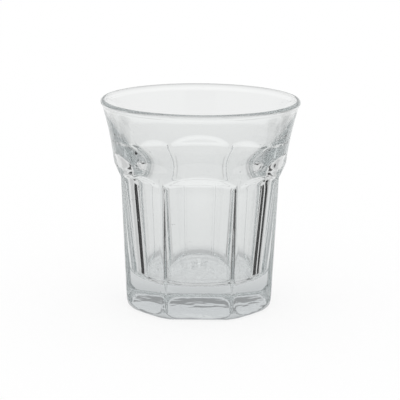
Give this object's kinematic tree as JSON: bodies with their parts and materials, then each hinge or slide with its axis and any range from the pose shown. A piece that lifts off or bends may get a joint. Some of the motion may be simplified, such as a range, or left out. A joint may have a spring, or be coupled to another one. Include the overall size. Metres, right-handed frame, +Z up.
{
  "type": "cortado glass",
  "caption": "Clear pressed glass tumbler with a flared round wall, beaded lip, arched flat panels divided by ribs, and a heavy foot; holds a small coffee.",
  "frame": {"origin": "middle of the underside, on the table", "axes": "+Z up along the axis of the glass, one wide panel facing -Y"},
  "size_m": [0.073, 0.073, 0.0765],
  "materials": {
    "clear_glass": "fire-polished clear soda-lime glass with a faint cool tint and a few seeds"
  },
  "bodies": {
    "root": {"tumbler": "clear_glass"}
  },
  "joints": []
}
